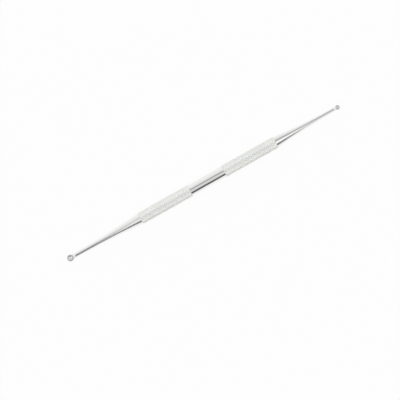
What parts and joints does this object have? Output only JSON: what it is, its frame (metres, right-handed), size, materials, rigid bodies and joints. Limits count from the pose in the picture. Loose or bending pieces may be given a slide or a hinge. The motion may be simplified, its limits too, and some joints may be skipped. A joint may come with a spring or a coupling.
{
  "type": "nail curette",
  "caption": "Slim double-ended steel nail curette with diamond knurled grips, a smooth middle band, long tapered shanks and a small round cup at each tip.",
  "frame": {"origin": "on the instrument's axis, at the middle of the smooth band", "axes": "+X along the axis towards the small cup, +Z the way the hollows of both cups open, +Y completes the frame"},
  "size_m": [0.14, 0.0056, 0.0056],
  "materials": {
    "steel": "polished stainless steel on the band, shanks and cups, satin knurling on the grips"
  },
  "bodies": {
    "root": {"curette": "steel"}
  },
  "joints": []
}
